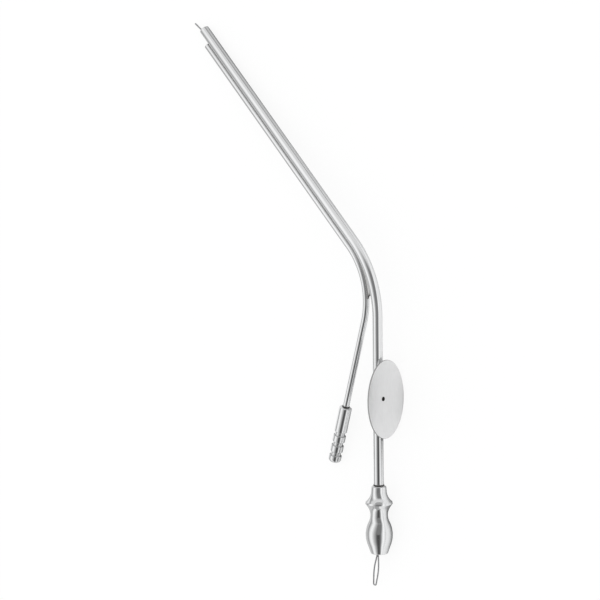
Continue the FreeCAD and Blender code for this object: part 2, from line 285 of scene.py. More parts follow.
def turned(outline, line, around=TURNED_SIDES):
    """Grid of an outline turned about a line, and the same grid before the line was bent.

    At distance s the point is line(s) + radius (cos a times the line's left + sin a times Z).
    """
    points, heading, distance = line
    station, radius = outline.T
    x, y, facing = (np.interp(station, distance, values)
                    for values in (points[:, 0], points[:, 1], heading))
    angle = np.linspace(0, 2 * math.pi, around, endpoint=False)
    left = radius[:, None] * np.cos(angle)
    up = radius[:, None] * np.sin(angle)
    grid = np.stack([x[:, None] - np.sin(facing)[:, None] * left,
                     y[:, None] + np.cos(facing)[:, None] * left, up], 2)
    unbent = np.stack([np.broadcast_to(station[:, None], left.shape), left, up], 2)
    return grid, unbent


def bore_rings(outline, radius):
    """1 for the rings of an outline that lie within a radius and 0 for the rest, as a column."""
    return (outline[:, 1] < radius).astype(float)[:, None]


def tube_outline(line, start, end, outer, inner):
    """Wall of a tube as a closed outline, with rings wherever its line has points.

    It goes out along the outer wall, round the lip, and back through the bore. A lip is half
    an ellipse: (LIP cos a, half the wall sin a). A guard ring stands half a lip behind each.
    """
    rings = line[2][(line[2] > start + 2 * LIP) & (line[2] < end - 2 * LIP)]
    rings = np.concatenate([[start + 1.5 * LIP], rings, [end - 1.5 * LIP]])
    turn = np.linspace(math.pi / 2, -math.pi / 2, LIP_STEPS)
    rise = (outer + inner) / 2 + (outer - inner) / 2 * np.sin(turn)
    station = np.concatenate([rings, end - LIP + LIP * np.cos(turn), rings[::-1],
                              start + LIP - LIP * np.cos(turn)])
    radius = np.concatenate([np.full(len(rings), outer), rise, np.full(len(rings), inner),
                             rise[::-1]])
    return np.stack([station, radius], 1)


# %% [markdown]
# ## The suction tube
#
# The real one is drawn 10 French tubing, bent once over a form, with its end cut square
# and the lip stoned smooth. Its seat end is hidden in the connector. A curve object with a
# bevel would look the same from afar, but it would be a solid rod: here the wall has two
# sides, so the open end is hollow, and its bore is painted dark as shade.

# %% The suction tube and its bend
SUCTION_RADIUS = 1.665
SUCTION_BORE_RADIUS = 1.365
SUCTION_BEND_RADIUS = 35.0
CONNECTOR_LENGTH = 23.3
SUCTION_SOCKET_DEPTH = 12.0

suction_line = rounded([(0, 0), bend_corner, tip_end[:2]], SUCTION_BEND_RADIUS, steps=60)
suction_outline = tube_outline(
    suction_line, CONNECTOR_LENGTH - SUCTION_SOCKET_DEPTH, suction_line[2][-1],
    SUCTION_RADIUS, SUCTION_BORE_RADIUS)
# The bore's rings are painted dark and rougher, as painted shade.
suction_tube = piece("suction_tube_wall", *turned(suction_outline, suction_line),
                     painted_shade=bore_rings(suction_outline, SUCTION_BORE_RADIUS + BORE_MARGIN))
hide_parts("suction_tube")

# %% [markdown]
# The vent is drilled through the plate, its solder and the near wall of the tube. A grid
# can't have a hole across its squares, so this one cut is left to the Boolean modifier,
# with a drill that is thrown away once the cut is applied.

# %% Drill the vent through the wall
PLATE_STATION = 52.6
VENT_RADIUS = 0.675
DRILL_SIDES = 48
DRILL_LENGTH = 3.0
DRILL_FIT = 0.001


def drilled(target, station, radius, depth):
    """Cut a round hole from the axis outwards along -Y, and keep the result in the mesh.

    The drill is a prism: station + r cos a, r sin a, from 0 to the depth. The wall that it
    leaves stands at the radius from its axis, and its colour is painted dark as shade.
    """
    angle = np.linspace(0, 2 * math.pi, DRILL_SIDES, endpoint=False)
    ring = np.stack([station + radius * np.cos(angle), np.zeros(DRILL_SIDES),
                     radius * np.sin(angle)], 1)
    shaft = np.concatenate([ring, ring - [0, depth, 0]])
    top = list(range(DRILL_SIDES))
    bottom = list(range(2 * DRILL_SIDES - 1, DRILL_SIDES - 1, -1))
    faces = [top, bottom] + grid_faces(2, DRILL_SIDES, False).tolist()
    drill = bpy.data.objects.new("drill", bpy.data.meshes.new("drill"))
    drill.data.from_pydata(placed(shaft), [], faces)
    bpy.context.scene.collection.objects.link(drill)
    prism = bmesh.new()
    prism.from_mesh(drill.data)
    bmesh.ops.recalc_face_normals(prism, faces=prism.faces)
    prism.to_mesh(drill.data)
    prism.free()
    cut = target.modifiers.new("vent", "BOOLEAN")
    cut.object, cut.operation, cut.solver = drill, "DIFFERENCE", "EXACT"
    result = bpy.data.meshes.new_from_object(
        target.evaluated_get(bpy.context.evaluated_depsgraph_get()))
    target.modifiers.clear()
    target.data = result
    places = np.array([vertex.co for vertex in result.vertices]) - placed((station, 0, 0))
    from_drill = np.linalg.norm(np.cross(places, axes[1]), axis=1) / MM
    # The hole's wall gets the painted shade of a bore.
    in_hole = (abs(from_drill - radius) < DRILL_FIT) & (places @ axes[1] < 0)
    shade_paint = result.attributes["painted_shade"].data
    shade_paint.foreach_set("value", np.where(
        in_hole, 1, [point.value for point in shade_paint]).astype(np.float32))
    result.name = target.name
    result.shade_smooth()
    bpy.data.objects.remove(drill)
    print(target.name, "drilled:", len(result.polygons), "faces")


drilled(suction_tube, PLATE_STATION, VENT_RADIUS, DRILL_LENGTH)

# %% [markdown]
# ## The irrigation tube
#
# A thinner tube lies against the inner side of the tip and stops short of it. Both tubes
# begin to bend at the same section, but this one turns further and tighter, so it swings
# out of the fork as a slanting tail. The tail's end and direction come from the mount of
# its connector, and the rest follows from where the two tubes touch.

# %% The irrigation tube and its tail
IRRIGATION_RADIUS = 1.10
IRRIGATION_BORE_RADIUS = 0.85
IRRIGATION_BEND_RADIUS = 25.0
IRRIGATION_SETBACK = 4.9
IRRIGATION_SOCKET_DEPTH = 6.0
BARREL_LENGTH = 8.6
TUBE_GAP = 0.08
IRRIGATION_SIDES = 72

barrel_middle, tail_heading = drawn(mounts["irrigation_hose"])
tail_face = barrel_middle[:2] - tail_heading[:2] * BARREL_LENGTH / 2
tube_spacing = SUCTION_RADIUS + TUBE_GAP + IRRIGATION_RADIUS
across_tip = np.array([-along_tip[1], along_tip[0]])
irrigation_end = tip_end[:2] + across_tip * tube_spacing - along_tip * IRRIGATION_SETBACK
to_corner, _ = np.linalg.solve(np.stack([tail_heading[:2], along_tip], 1),
                               irrigation_end - tail_face)
irrigation_corner = tail_face + tail_heading[:2] * to_corner
tail_seat = tail_face + tail_heading[:2] * IRRIGATION_SOCKET_DEPTH

irrigation_line = rounded(
    [tail_seat, irrigation_corner, irrigation_end], IRRIGATION_BEND_RADIUS, steps=60)
irrigation_outline = tube_outline(
    irrigation_line, 0, irrigation_line[2][-1], IRRIGATION_RADIUS, IRRIGATION_BORE_RADIUS)
# Its bore is painted dark as shade too.
irrigation_tube = piece(
    "irrigation_tube_wall", *turned(irrigation_outline, irrigation_line, IRRIGATION_SIDES),
    painted_shade=bore_rings(irrigation_outline, IRRIGATION_BORE_RADIUS + BORE_MARGIN))
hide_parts("irrigation_tube")

# %% [markdown]
# ## The solder seam
#
# Silver solder is drawn into the groove between the tubes and leaves a hollow fillet on
# each side. In the fork the tubes part, and the web between them grows wider and thinner
# until it ends in a hollow edge that climbs along both tubes, with a dark spot of painted
# shade in the crotch. Carrying one fixed section along a line can't do that. So the section
# is worked out anew at every point, from how far apart the tubes are there, and it always
# touches both.

# %% Where the two tubes are, side by side
FORK_STATION = 85.4
bend_end = bend_corner + along_tip * SUCTION_BEND_RADIUS * math.tan(bend_angle / 2)


def bend_centre(start, radius):
    """Centre of a bend that ends at a point and turns to the left."""
    return start + across_tip * radius


def turned_at(centre, radius, station):
    """How far a bend has turned where it passes a station: sin = (station - centre) / r."""
    return math.asin((station - centre[0]) / radius)


suction_centre = bend_centre(bend_end, SUCTION_BEND_RADIUS)
irrigation_centre = bend_centre(bend_end + across_tip * tube_spacing, IRRIGATION_BEND_RADIUS)
suction_left = turned_at(suction_centre, SUCTION_BEND_RADIUS, FORK_STATION)
irrigation_left = turned_at(irrigation_centre, IRRIGATION_BEND_RADIUS, FORK_STATION)
web_length = (bend_angle - suction_left) * SUCTION_BEND_RADIUS
print("web of", round(web_length, 2), "mm down to the fork")


def tube_axis(distance, centre, radius, left):
    """Points of a tube's axis at distances down from the end of its bend.

    Above the bend the axis is straight. Below it, the point is the centre plus the radius,
    turned back in step with the other tube, so that both reach the fork together.
    """
    straight_part = np.minimum(distance, 0)[..., None] * -along_tip
    angle = bend_angle + (left - bend_angle) * np.maximum(distance, 0) / web_length
    return centre + radius * np.stack([np.sin(angle), -np.cos(angle)], -1) + straight_part


# %% Section of the solder between two circles
SEAM_THROAT = 0.48
WEB_THROAT = 0.26


def seam_section(spacing, throat, share, lift):
    """Offset from the suction tube's axis, and height, at a share of the way across.

    A hollow fillet of radius f touches circles r1 and r2 and leaves the throat under it,
    so its centre is r1 + f and r2 + f from the two axes and throat + f up. Those distances
    give a quadratic in f. Lift scales the height, and the ends stay on the two circles.
    """
    near, far = SUCTION_RADIUS, IRRIGATION_RADIUS
    start = (near ** 2 - far ** 2 + spacing ** 2) / (2 * spacing)
    slope = (near - far) / spacing
    linear = near - throat - start * slope
    constant = start ** 2 + throat ** 2 - near ** 2
    fillet = constant / (linear + np.sqrt(linear ** 2 - slope ** 2 * constant))
    across, up = start + slope * fillet, throat + fillet
    first = math.pi + np.arctan2(up, across)
    last = 2 * math.pi - np.arctan2(up, spacing - across)

    def arc(portion):
        """The fillet at a portion of its arc: its centre + f (cos a, sin a)."""
        angle = first + (last - first) * portion
        return across + fillet * np.cos(angle), up + fillet * np.sin(angle)

    offset, height = arc(share)
    near_offset, near_height = arc(0)
    far_offset, far_height = arc(1)
    near_shift = np.sqrt(near ** 2 - (near_height * lift) ** 2) - near_offset
    far_shift = spacing - np.sqrt(far ** 2 - (far_height * lift) ** 2) - far_offset
    return offset + near_shift * (1 - share) + far_shift * share, height * lift


# %% The columns round the section, and the rows down the tip
SEAM_STEPS = 14
SEAM_END = 0.5
SEAM_END_ROWS = 9
FIRST_ROW = 2.0
TIP_ROWS = 30
WEB_ROWS = 40

across_share = np.linspace(0, 1, SEAM_STEPS + 1)
down_share = np.linspace(1, -1, SEAM_STEPS + 1)[1:-1]
column_share = np.concatenate([across_share, np.ones(len(down_share)),
                               across_share[::-1], np.zeros(len(down_share))])
column_lift = np.concatenate([np.ones(SEAM_STEPS + 1), down_share,
                              -np.ones(SEAM_STEPS + 1), -down_share])

seam_length = (irrigation_end - bend_end) @ along_tip - LIP
rounding = np.linspace(0, math.pi / 2, SEAM_END_ROWS)
row_distance = np.concatenate([
    SEAM_END * (1 - np.cos(rounding)) - seam_length,
    np.linspace(FIRST_ROW - seam_length, 0, TIP_ROWS),
    np.linspace(0, web_length - SEAM_END, WEB_ROWS)[1:-1],
    web_length - SEAM_END * (1 - np.cos(rounding[::-1]))])
row_closing = np.sin(np.concatenate([
    rounding, np.full(len(row_distance) - 2 * SEAM_END_ROWS, math.pi / 2), rounding[::-1]]))
print("seam of", round(seam_length + web_length, 1), "mm in", len(row_distance), "rows")

# %% Carry the section down the tip and into the fork
NOTCH_DEPTH = 1.3
CROTCH_LENGTH = 1.2
CROTCH_FILL = 1.5

into_web = np.clip(row_distance / web_length, 0, 1)
web_share = into_web ** 2 * (3 - 2 * into_web)
hollow = 4 * column_share * (1 - column_share)
row_place = row_distance[:, None] - (web_share * NOTCH_DEPTH)[:, None] * hollow
suction_axis = tube_axis(row_place, suction_centre, SUCTION_BEND_RADIUS, suction_left)
irrigation_axis = tube_axis(row_place, irrigation_centre, IRRIGATION_BEND_RADIUS, irrigation_left)
between = irrigation_axis - suction_axis
spacing = np.linalg.norm(between, axis=2)
throat = (SEAM_THROAT + (WEB_THROAT - SEAM_THROAT) * web_share)[:, None]
offset, height = seam_section(spacing, throat, column_share, row_closing[:, None] * column_lift)
seam_grid = np.concatenate([suction_axis + between * (offset / spacing)[..., None],
                            height[..., None]], 2)
# The crotch's colour is painted dark, as painted shade.
into_crotch = np.clip((row_distance - web_length) / CROTCH_LENGTH + 1, 0, 1)
crotch_shade = into_crotch[:, None] * np.minimum(1, CROTCH_FILL * hollow)
seam = piece("tube_solder_seam", seam_grid, ring=False, painted_shade=crotch_shade)
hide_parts("tube_solder")

# %% [markdown]
# ## The finger plate
#
# A finger seals the vent at the middle of this oval plate. It was pressed from 0.6 mm sheet
# to the same depth along and across, so its rim is flat, and then its edge was broken all
# round. The sheet is one closed section, from the vent out over the face, round the rim and
# back underneath, carried round the oval. Near the vent the rows are circles and near the
# rim they follow the oval, so both edges keep an even width. The vent's edge is painted dark
# as its shade, and the rim is painted partly dark as a dark reflection, so both show as a
# thin darker line.

# %% The dish and the oval
PLATE_LENGTH = 26.4
PLATE_WIDTH = 17.7
PLATE_THICKNESS = 0.60
PLATE_DISH = 1.30
PLATE_GAP = 0.05
OVAL_STEPS = 192

plate_seat = SUCTION_RADIUS + PLATE_GAP
plate_reach = PLATE_WIDTH / 2 - VENT_RADIUS
oval_angle = np.linspace(0, 2 * math.pi, OVAL_STEPS, endpoint=False)
circle = np.stack([np.cos(oval_angle), np.sin(oval_angle)], 1)


def arc_radius(width):
    """Radius of an arc that sinks by the dish over a width: (w^2/4 + d^2) / 2d."""
    return (width ** 2 / 4 + PLATE_DISH ** 2) / (2 * PLATE_DISH)


def dished(x, z, height):
    """How far out the sheet is at a point of its plan: an arc across, swung to an arc along."""
    across, along = arc_radius(PLATE_WIDTH), arc_radius(PLATE_LENGTH)
    swing = along - across + np.sqrt((across - height) ** 2 - z ** 2)
    return -plate_seat - along + np.sqrt(swing ** 2 - x ** 2)


def on_plate(plan, height):
    """Drawing points of a plan about the vent, at a height in the sheet."""
    return np.stack([PLATE_STATION + plan[..., 0], dished(plan[..., 0], plan[..., 1], height),
                     plan[..., 1]], -1)


def oval_plan(section_place, margin):
    """Plan points for distances out from the vent's edge to the rim's.

    Within the margin of either edge a row keeps its distance from it. Between the two
    margins it is a mixture of the circle and the oval.
    """
    share = np.clip((section_place - margin) / (plate_reach - 2 * margin), 0, 1)[:, None, None]
    half = np.array([PLATE_LENGTH, PLATE_WIDTH]) / 2
    outward = circle / half
    outward /= np.linalg.norm(outward, axis=1)[:, None]
    from_vent = np.minimum(section_place, margin)[:, None, None]
    from_rim = np.minimum(plate_reach - section_place, margin)[:, None, None]
    return ((1 - share) * circle * (VENT_RADIUS + from_vent)
            + share * (circle * half - outward * from_rim))


# %% The sheet's closed section
RIM_EDGE = 0.20
VENT_EDGE = 0.14
VENT_BACK_EDGE = 0.06
SHEET_ROWS = 27

edges = rounded([(0, PLATE_THICKNESS / 2), (0, 0), (plate_reach, 0),
                 (plate_reach, PLATE_THICKNESS), (0, PLATE_THICKNESS), (0, PLATE_THICKNESS / 2)],
                [VENT_BACK_EDGE, RIM_EDGE, RIM_EDGE, VENT_EDGE], steps=8)[0][:-1]
sheet = np.linspace(0, plate_reach, SHEET_ROWS)
sheet = sheet[(sheet > 3 * RIM_EDGE) & (sheet < plate_reach - 3 * RIM_EDGE)]
back = np.stack([sheet, np.zeros(len(sheet))], 1)
face = np.stack([sheet[::-1], np.full(len(sheet), PLATE_THICKNESS)], 1)
to_rim, to_vent = np.flatnonzero(np.diff(edges[:, 0] > plate_reach / 2)) + 1
section = np.concatenate([edges[:to_rim], back, edges[to_rim:to_vent], face, edges[to_vent:]])
print("section of", len(section), "points, from the vent round the rim and back")

# %% Carry it round the oval
EVEN_MARGIN = 0.4
VENT_SHADOW = 0.08
RIM_PAINTED_DARK_REFLECTION = 0.62

plate_plan = oval_plan(section[:, 0], EVEN_MARGIN)
plate_height = np.broadcast_to(section[:, 1, None], plate_plan.shape[:2])
# Painted shade on the vent's edge, and a painted dark reflection on the rim.
painted_edge_shade = np.select([section[:, 0] < VENT_SHADOW, section[:, 0] > plate_reach - RIM_EDGE / 2],
                     [1.0, RIM_PAINTED_DARK_REFLECTION])[:, None]
plate = piece("finger_plate_sheet", on_plate(plate_plan, plate_height), painted_shade=painted_edge_shade)
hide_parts("finger_plate")

# %% [markdown]
# ## The solder under the plate
#
# The plate stands on a long pad of solder, drawn hollow between it and the tube. The pad
# is narrow where it meets the tube and wide under the plate. A quarter of an ellipse from
# one to the other has the look of solder that has run and set.

# %% The pad, from the plate's back down to the tube
PAD_LENGTH = 20.0
PAD_WIDTH = 5.6
PAD_FOOT_LENGTH = 18.8
PAD_FOOT_WIDTH = 2.9
PAD_SINK = 0.02
PAD_ROWS = 9
FLANK_ROWS = 13
VENT_MARGIN = 0.01

crest = circle * [PAD_LENGTH / 2, PAD_WIDTH / 2]
foot = circle * [PAD_FOOT_LENGTH / 2, PAD_FOOT_WIDTH / 2]
spread = np.linspace(0, 1, PAD_ROWS)[:, None, None]
top_plan = circle * VENT_RADIUS * (1 - spread) + crest * spread
bottom_plan = (circle * VENT_RADIUS * (1 - spread) + foot * spread)[::-1]
quarter = np.linspace(0, math.pi / 2, FLANK_ROWS)[1:-1, None, None]
flank_plan = crest + (foot - crest) * np.sin(quarter)

top_height = dished(top_plan[..., 0], top_plan[..., 1], PAD_SINK)
bottom_height = PAD_SINK - np.sqrt(SUCTION_RADIUS ** 2 - bottom_plan[..., 1] ** 2)
flank_height = (top_height[-1] + (bottom_height[0] - top_height[-1])
                * (1 - np.cos(quarter[..., 0])))
pad_plan = np.concatenate([top_plan, flank_plan, bottom_plan])
pad_height = np.concatenate([top_height, flank_height, bottom_height])
pad_grid = np.stack([PLATE_STATION + pad_plan[..., 0], pad_height, pad_plan[..., 1]], -1)
# The vent's hole through the pad is painted dark as shade.
pad = piece("plate_solder_pad", pad_grid,
            painted_shade=np.linalg.norm(pad_plan, axis=2) < VENT_RADIUS + VENT_MARGIN)
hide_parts("plate_solder")

# %% [markdown]
# ## The turned connectors
#
# Both connectors are turned from bar and bored through. A closed outline, out along the
# profile and back through the bore, gives the whole part in one turn with no caps to fit.
# The corners are the shop drawing's: the olive, neck and flare are large arcs, and every
# edge that a hand would find has a small one. The end that holds a tube is bevelled, and a
# thin lip of solder stands round the tube there. The lip and the bore are painted dark, as
# the shade of the joint and of the hole.

# %% The suction connector: mouth, olive, neck, collar and shank
CONNECTOR_BORE_RADIUS = 1.45
SOCKET_CLEARANCE = 0.03
COUNTERSINK = 0.25
SMALL_EDGE = 0.06
END_BEVEL = 0.28
SEAT_LIP = 0.42
SEAT_LIP_WALL = 0.12
SEAT_LIP_EDGE = 0.03
LIP_STANDS_OUT = 0.15
LIP_MARGIN = 0.01
PROFILE_START = 5.0

suction_socket = SUCTION_RADIUS + SOCKET_CLEARANCE
suction_lip = suction_socket + SEAT_LIP_WALL
shoulder = CONNECTOR_LENGTH - SUCTION_SOCKET_DEPTH
lip_end = CONNECTOR_LENGTH + LIP_STANDS_OUT
suction_profile = np.array([
    # station, radius, radius of the rounded corner
    (PROFILE_START, CONNECTOR_BORE_RADIUS, 0),
    (COUNTERSINK, CONNECTOR_BORE_RADIUS, SMALL_EDGE),
    (0, CONNECTOR_BORE_RADIUS + COUNTERSINK, SMALL_EDGE),
    (0, 2.81, 0.40),              # mouth
    (7.0, 5.32, 9.8),             # olive
    (13.6, 2.11, 5.0),            # neck
    (16.97, 4.57, SMALL_EDGE),    # collar
    (17.54, 4.46, SMALL_EDGE),
    (19.19, 2.73, 4.9),           # flare
    (lip_end - SEAT_LIP - END_BEVEL, 2.45, SMALL_EDGE),
    (lip_end - SEAT_LIP, suction_lip, SEAT_LIP_EDGE),
    (lip_end, suction_lip, SEAT_LIP_EDGE),
    (lip_end, suction_socket, SEAT_LIP_EDGE),
    (shoulder, suction_socket, SMALL_EDGE),
    (shoulder, CONNECTOR_BORE_RADIUS, SMALL_EDGE),
    (PROFILE_START, CONNECTOR_BORE_RADIUS, 0),
])


def turned_part(name, profile, line, lip_radius):
    """A closed profile turned about a line, with its grain along the profile.

    The lip of solder, and every ring that is nearer the line, is painted dark as shade.
    """
    outline, _, travelled = rounded(profile[:, :2], profile[1:-1, 2])
    grid, unbent = turned(outline[:-1], line)
    unbent[..., 0] = travelled[:-1, None]
    return piece(name, grid, unbent, painted_shade=bore_rings(outline[:-1], lip_radius + LIP_MARGIN))


suction_connector = turned_part("suction_connector_olive", suction_profile,
                                straight((0, 0), (1, 0)), suction_lip)
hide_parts("suction_connector")

# %% The irrigation connector: barrel, three rings and a nose
BARREL_RADIUS = 2.13
RING_RADIUS = 2.12
RING_WIDTH = 2.2
RING_COUNT = 3
GROOVE_RADIUS = 1.65
GROOVE_WIDTH = 1.43
LAND_EDGE = 0.13
GROOVE_EDGE = 0.16
NOSE_EDGE = 1.1
NOSE_CROWN = 0.35
BARREL_PROFILE_START = 3.0

irrigation_socket = IRRIGATION_RADIUS + SOCKET_CLEARANCE
irrigation_lip = irrigation_socket + SEAT_LIP_WALL
lip_start = -END_BEVEL - SEAT_LIP
ring_start = BARREL_LENGTH + GROOVE_WIDTH + np.arange(RING_COUNT) * (GROOVE_WIDTH + RING_WIDTH)
nose = ring_start[-1] + RING_WIDTH
one_ring = np.array([(-GROOVE_WIDTH, GROOVE_RADIUS, GROOVE_EDGE), (0, GROOVE_RADIUS, GROOVE_EDGE),
                     (0, RING_RADIUS, LAND_EDGE), (RING_WIDTH, RING_RADIUS, LAND_EDGE)])
rings = (one_ring + ring_start[:, None, None] * [1, 0, 0]).reshape(-1, 3)
# The last ring is rounded off as the nose, which is slightly crowned.
rings[-1] = nose - NOSE_CROWN, RING_RADIUS, NOSE_EDGE
irrigation_profile = np.concatenate([
    [(BARREL_PROFILE_START, irrigation_socket, 0),
     (lip_start, irrigation_socket, SEAT_LIP_EDGE),
     (lip_start, irrigation_lip, SEAT_LIP_EDGE),
     (lip_start + SEAT_LIP, irrigation_lip, SEAT_LIP_EDGE),
     (0, BARREL_RADIUS, SMALL_EDGE),
     (BARREL_LENGTH, BARREL_RADIUS, LAND_EDGE)],
    rings,
    [(nose + NOSE_CROWN / 2, (RING_RADIUS + IRRIGATION_BORE_RADIUS) / 2, NOSE_EDGE),
     (nose + NOSE_CROWN, IRRIGATION_BORE_RADIUS, SMALL_EDGE),
     (IRRIGATION_SOCKET_DEPTH, IRRIGATION_BORE_RADIUS, SMALL_EDGE),
     (IRRIGATION_SOCKET_DEPTH, irrigation_socket, SMALL_EDGE),
     (BARREL_PROFILE_START, irrigation_socket, 0)]])
irrigation_connector = turned_part(
    "irrigation_connector_rings", irrigation_profile, straight(tail_face, tail_heading),
    irrigation_lip)
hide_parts("irrigation_connector")

# %% [markdown]
# ## The stylet
#
# One spring wire keeps the suction bore clear. It runs through it along the inner side of
# the bend, sticks out at the tip with a slight kick, and at the other end it is folded
# back into a thumb loop. The whole wire is one rounded line with domed ends.

# %% The wire from its folded leg to its tip
WIRE_RADIUS = 0.25
WIRE_CLEARANCE = 0.10
LEG_GAP = 0.03
LOOP_NECK = 0.9
LOOP_LENGTH = 10.4
LOOP_LEAN = math.radians(8)
LOOP_WIDEST = 4.7
LOOP_WIDTH = 2.18
LOOP_APEX_WIDTH = 1.05
LOOP_RETURN = 6.0
KICK_ANGLE = math.radians(10)
KICK_RADIUS = 6.0
STYLET_REACH = 4.0

wire_offset = SUCTION_BORE_RADIUS - WIRE_RADIUS - WIRE_CLEARANCE
leg = 2 * WIRE_RADIUS + LEG_GAP
along_loop = np.array([-math.cos(LOOP_LEAN), math.sin(LOOP_LEAN)])
across_loop = np.array([-math.sin(LOOP_LEAN), -math.cos(LOOP_LEAN)])
loop_neck = np.array([-LOOP_NECK, wire_offset - leg / 2])
loop_places = np.array([
    # along the loop, across it, radius
    (0, leg / 2, 4.5),
    (LOOP_WIDEST, LOOP_WIDTH / 2, 19.0),
    (LOOP_LENGTH, LOOP_APEX_WIDTH / 2, 0.50),
    (LOOP_LENGTH, -LOOP_APEX_WIDTH / 2, 0.50),
    (LOOP_WIDEST, -LOOP_WIDTH / 2, 19.0),
    (0, -leg / 2, 4.5),
])
loop_corners = loop_neck + loop_places[:, :1] * along_loop + loop_places[:, 1:2] * across_loop
wire_bend = bend_corner + np.array([-math.tan(bend_angle / 2), 1]) * wire_offset
kick = (tip_end[:2] + across_tip * wire_offset
        + along_tip * KICK_RADIUS * math.tan(KICK_ANGLE / 2))
kick_heading = bend_angle + KICK_ANGLE
wire_end = kick + np.array([math.cos(kick_heading), math.sin(kick_heading)]) * STYLET_REACH
wire_line = rounded(
    np.concatenate([[(LOOP_RETURN, wire_offset - leg)], loop_corners, [wire_bend, kick, wire_end]]),
    np.concatenate([loop_places[:, 2], [SUCTION_BEND_RADIUS - wire_offset, KICK_RADIUS]]), steps=24)
print("wire of", round(wire_line[2][-1], 1), "mm before it is bent")

# %% Turn the wire, with domed ends
WIRE_SIDES = 32
DOME_STEPS = 9
PAST_DOME = 1.1


def rod_outline(line, radius):
    """A rod's outline, with a ring wherever its line has a point.

    Its ends are domes: r (1 - cos a) along the line and r sin a from it.
    """
    end = line[2][-1]
    dome = np.linspace(0, math.pi / 2, DOME_STEPS)
    rings = line[2][(line[2] > PAST_DOME * radius) & (line[2] < end - PAST_DOME * radius)]
    station = np.concatenate([radius * (1 - np.cos(dome)), rings,
                              end - radius * (1 - np.cos(dome[::-1]))])
    return np.stack([station, np.concatenate([
        radius * np.sin(dome), np.full(len(rings), radius), radius * np.sin(dome[::-1])])], 1)


stylet = piece("stylet_wire", *turned(rod_outline(wire_line, WIRE_RADIUS), wire_line, WIRE_SIDES),
               ring=False)
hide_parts("stylet")

# %% [markdown]
# ## Shader sums written as sums
#
# A finish is a formula: so much roughness, plus a little where the polishing streaks are.
# Clicking Math nodes together hides that formula. One small class lets it be written as
# ordinary arithmetic, and one method adds every other kind of node.

# %% A socket that can be reckoned with
class Field:
    """One output socket of a node. Arithmetic on fields adds the Math nodes that do it."""

    def __init__(self, socket):
        self.socket = socket

    def node(self, kind, settings=None, inputs=None, output=0):
        """Add a node of any kind: its settings first, then the values or links of its sockets."""
        return add_node(self.socket.id_data, kind, settings, inputs, output)

    def math(self, operation, first, second):
        return self.node("ShaderNodeMath", {"operation": operation}, {0: first, 1: second})

    def __add__(self, other):
        return self.math("ADD", self, other)

    def __radd__(self, other):
        return self.math("ADD", other, self)

    def __sub__(self, other):
        return self.math("SUBTRACT", self, other)

    def __rsub__(self, other):
        return self.math("SUBTRACT", other, self)

    def __mul__(self, other):
        return self.math("MULTIPLY", self, other)

    def __rmul__(self, other):
        return self.math("MULTIPLY", other, self)


def add_node(tree, kind, settings=None, inputs=None, output=0):
    """A new node in a tree, and the field of one of its outputs."""
    made = tree.nodes.new(kind)
    for name, value in (settings or {}).items():
        setattr(made, name, value)
    for key, value in (inputs or {}).items():
        if isinstance(value, Field):
            tree.links.new(value.socket, made.inputs[key])
        else:
            made.inputs[key].default_value = value
    return Field(made.outputs[output])


# %% [markdown]
# ## The finishes
#
# All of it is bare metal, so what tells the pieces apart is how they were worked. Drawn tube
# is polished along its length, connectors carry the rings of the lathe, the plate is
# brushed to a satin, solder sets a little lumpy and the wire is duller. A flat colour with
# one roughness would look like plastic foil. Each finish stretches the same noise along its
# own direction of work, read from the unbent places that the pieces carry. A picture of
# scratches could do that too, but it would blur up close.
#
# In bores, grooves and crevices shade is painted into the colour: it goes dark and less
# metallic there, and the metal is also made rougher. The pieces mark their own bores, holes
# and edges with an attribute. The crevices are between pieces, which no piece knows of, so
# they are left to an Ambient Occlusion node, which tells how much of the open space round a
# point is clear, and shade is painted where it is not.

# %% Noise and colour for the recipe
MIDDLE = 0.5
NOISE_FALL = 0.6


def stretched(place, scale, detail=2.0):
    """Noise about 0 on places scaled by a vector: long where the scale is small."""
    squeezed = place.node("ShaderNodeVectorMath", {"operation": "MULTIPLY"}, {0: place, 1: scale})
    noise = place.node("ShaderNodeTexNoise", None, {
        "Vector": squeezed, "Scale": 1.0, "Detail": detail, "Roughness": NOISE_FALL})
    return noise - MIDDLE


def between_colours(factor, first, second):
    """The first colour where the factor is 0, the second where it is 1, mixed in between.

    The Mix node keeps its two colours in sockets 6 and 7, and their mixture in output 2.
    """
    return factor.node("ShaderNodeMix", {"data_type": "RGBA", "clamp_factor": True},
                       {"Factor": factor, 6: first, 7: second}, output=2)


# %% One recipe for worked metal
SHADE_REACH = 1.0
OCCLUSION_SAMPLES = 6
CREVICE_SHADE_GAIN = 1.2
PAINTED_SHADE_COLOUR = (0.03, 0.028, 0.026, 1)
UNPOLISHED_ROUGHNESS = 0.3
SHADE_METAL_LOSS = 0.85
FINE_MARKS = 3.1
FINE_SHARE = 0.5
CLOUDS = (0.22, 0.35, 0.35)


